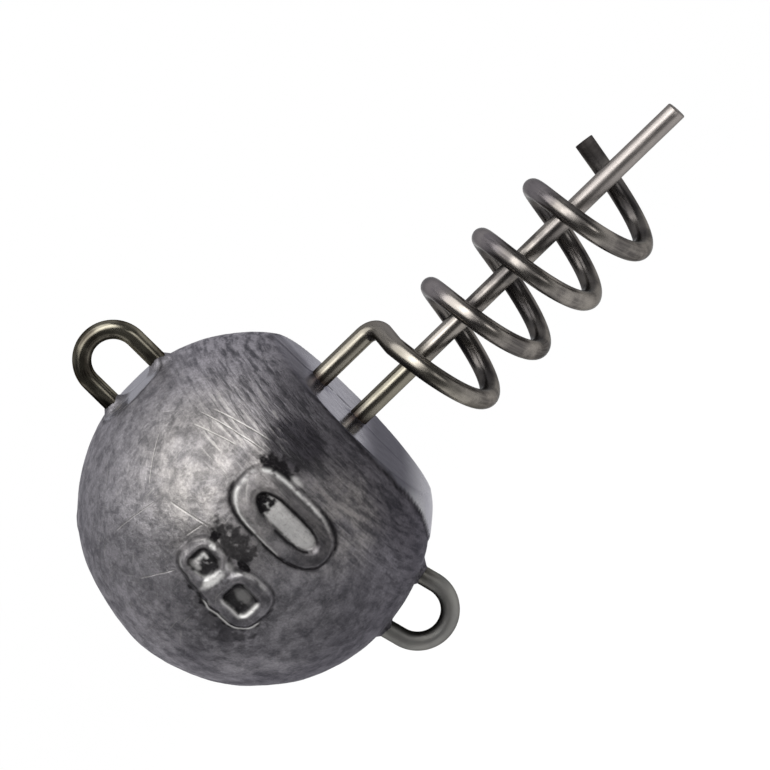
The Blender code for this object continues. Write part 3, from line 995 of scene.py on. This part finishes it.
DARK_GUNMETAL = colour(0.070, 0.064, 0.062)
PALE_GUNMETAL = colour(0.235, 0.216, 0.196)
COIL_TOP_SHEEN = colour(0.300, 0.272, 0.292)
COIL_INSIDE_SHADE = colour(0.034, 0.032, 0.034)
LEG_OLIVE = colour(0.175, 0.162, 0.125)
FOOT_RUST = colour(0.034, 0.018, 0.014)
TIP_HIGHLIGHT = colour(0.260, 0.238, 0.225)

steel, oxide_patches, screw_tone, screw_rough = oxidised_wire(
    "gunmetal_screw_wire", wire_marks, DARK_GUNMETAL, PALE_GUNMETAL, 0.27)
wire_x, wire_y, wire_z = steel.parts_of(steel.place_in_mm())

# Painted light makes the coil's top a pale lilac, and painted shade makes its inside black
over_axis = steel.minus(wire_z, BALL_MIDDLE.z / MM + COIL_AXIS_Z)
off_axis = steel.hypot(wire_y, over_axis)
coil_top = steel.between(over_axis, COIL_RADIUS - 1.3, COIL_RADIUS + 0.2, 0.0, 0.5)
screw_tone = steel.blend(coil_top, screw_tone, COIL_TOP_SHEEN)
coil_inside = steel.times(steel.between(off_axis, COIL_RADIUS - 0.05, COIL_RADIUS - 0.40),
                          steel.between(off_axis, COIL_RADIUS - 1.1, COIL_RADIUS - 0.8))
screw_tone = steel.blend(steel.times(coil_inside, 0.62), screw_tone, COIL_INSIDE_SHADE)

# Pale olive toward the lead, and rust at the feet of leg and pin
near_lead = steel.between(wire_x, 17.0, 13.0)
screw_tone = steel.blend(steel.times(near_lead, 0.8), screw_tone, LEG_OLIVE)
feet = steel.plus(wire_x, steel.times(oxide_patches, 2.0))
screw_tone = steel.blend(steel.between(feet, 9.9, 11.0, 0.85, 0.0), screw_tone, FOOT_RUST)

# Painted highlight: the pin is paler over its last 7 to 14 mm to the tip
wire_map = steel.add("ShaderNodeUVMap", {"uv_map": "along_wire"})
tip_highlight = steel.between(steel.parts_of(wire_map.outputs[0])[0], 0.7, 1.4, 0.9, 0.0)
screw_tone = steel.blend(tip_highlight, screw_tone, TIP_HIGHLIGHT)
screw_rough = steel.plus(screw_rough, steel.times(tip_highlight, 0.12))
finish_wire(corkscrew, steel, screw_tone, screw_rough, 0.42)
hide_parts("screw_wire")
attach(corkscrew, "root")


# The studio: white paper well under the hanging head, two soft boxes over it and in front of it, a
# small lamp low on the right, and the camera where the photograph was taken from.
FLOOR_Z = -0.075
VIEW_RIGHT = Vector((0.7127, -0.0247, -0.7010))
VIEW_UP = Vector((0.6880, 0.2198, 0.6917))
VIEW_BACK = Vector((0.1371, -0.9752, 0.1736))
VIEW_MIDDLE = Vector((0.011518, 0.001616, -0.014541))
VIEW_DISTANCE = 0.9
PICTURE_WIDTH = 770
PIXELS_A_MM = 14.75
FRAME_WIDTH = PICTURE_WIDTH / PIXELS_A_MM * MM

floor_mesh = bpy.data.meshes.new("studio_floor")
floor_shape = bmesh.new()
bmesh.ops.create_grid(floor_shape, x_segments=8, y_segments=8, size=4.0)
for vert in floor_shape.verts:
    vert.co.z = FLOOR_Z
floor_shape.to_mesh(floor_mesh)
floor_shape.free()
floor = place_in_scene("studio_floor", floor_mesh)

# The paper under the head takes its light and shadow from the lamps, and shows plain white further
# back. It ends in front of the head on a dark table, which the camera doesn't see.
paper = NodeBench("white_paper")
on_floor = paper.place_in_mm()
fibre = paper.noise(on_floor, 0.02, 2.0)
paper_tone = paper.blend(fibre, grey(0.90), grey(0.92))
in_front = paper.between(paper.parts_of(on_floor)[1], -40.0, -130.0)
paper_tone = paper.blend(in_front, paper_tone, grey(0.08))
paper.shade(Base_Color=paper_tone, Roughness=0.9, Specular_IOR_Level=0.1)
white = paper.add("ShaderNodeEmission", None, Color=grey(1.0), Strength=1.0)
rays = paper.add("ShaderNodeLightPath")
seen = paper.larger(rays.outputs["Is Camera Ray"], rays.outputs["Is Glossy Ray"])
seen = paper.larger(seen, rays.outputs["Is Transmission Ray"])
far_out = paper.spot(on_floor, (0.0, 0.0, FLOOR_Z / MM), 60.0, 420.0)
whiteness = paper.times(seen, paper.between(far_out, 0.0, 1.0, 1.0, 0.5))
whiteness = paper.times(whiteness, paper.minus(1.0, in_front))
paper_mix = paper.add("ShaderNodeMixShader", None, Fac=whiteness)
paper.tree.links.new(paper.shader.outputs[0], paper_mix.inputs[1])
paper.tree.links.new(white.outputs[0], paper_mix.inputs[2])
paper.tree.links.new(paper_mix.outputs[0], paper.tree.nodes["Material Output"].inputs["Surface"])
floor_mesh.materials.append(paper.material)


def soft_box(name, direction, distance, width, height, radiance):
    """A lamp that faces the head from a direction, at its distance, and isn't seen itself."""
    data = bpy.data.lights.new(name, "AREA")
    data.shape = "RECTANGLE"
    data.size = width
    data.size_y = height
    data.energy = radiance * 4 * width * height
    box = place_in_scene(name, data)
    way = Vector(direction).normalized()
    box.location = VIEW_MIDDLE + way * distance
    box.rotation_euler = way.to_track_quat("Z", "Y").to_euler()
    box.visible_camera = False


soft_box("overhead_box", (0.03, -0.52, 0.84), 0.80, 1.30, 1.00, 2.4)
soft_box("key_box", (0.19, -0.66, 0.70), 0.78, 1.00, 0.24, 3.0)
soft_box("low_strip", (0.60, -0.80, -0.02), 0.35, 0.11, 0.09, 2.2)

# The room is dark on the camera's side, and gets paler from in front of the head to behind it
ROOM_CHANGE = (-0.35, 0.75)
ROOM_BRIGHTNESS = (0.10, 0.80)
studio_world = bpy.data.worlds.new("studio_world")
studio_world.use_nodes = True
world_nodes = studio_world.node_tree.nodes
world_links = studio_world.node_tree.links
way = world_nodes.new("ShaderNodeTexCoord")
way_parts = world_nodes.new("ShaderNodeSeparateXYZ")
room_tone = world_nodes.new("ShaderNodeMapRange")
room_tone.interpolation_type = "SMOOTHSTEP"
for socket, value in zip(room_tone.inputs[1:5], ROOM_CHANGE + ROOM_BRIGHTNESS):
    socket.default_value = value
world_links.new(way.outputs["Generated"], way_parts.inputs[0])
world_links.new(way_parts.outputs["Y"], room_tone.inputs[0])
world_links.new(room_tone.outputs[0], world_nodes["Background"].inputs["Strength"])
world_nodes["Background"].inputs["Color"].default_value = colour(0.96, 0.97, 1.0)
bpy.context.scene.world = studio_world
bpy.context.scene.view_settings.view_transform = "Standard"

SENSOR_WIDTH = 36.0
camera_data = bpy.data.cameras.new("photo_camera")
camera_data.sensor_width = SENSOR_WIDTH
camera_data.lens = SENSOR_WIDTH * VIEW_DISTANCE / FRAME_WIDTH
camera_data.clip_start = 0.01
camera_data.clip_end = 20.0
camera = place_in_scene("photo_camera", camera_data)
view_turn = Matrix((VIEW_RIGHT, VIEW_UP, VIEW_BACK)).transposed().to_4x4()
camera.matrix_world = Matrix.Translation(VIEW_MIDDLE + VIEW_BACK * VIEW_DISTANCE) @ view_turn
bpy.context.scene.camera = camera
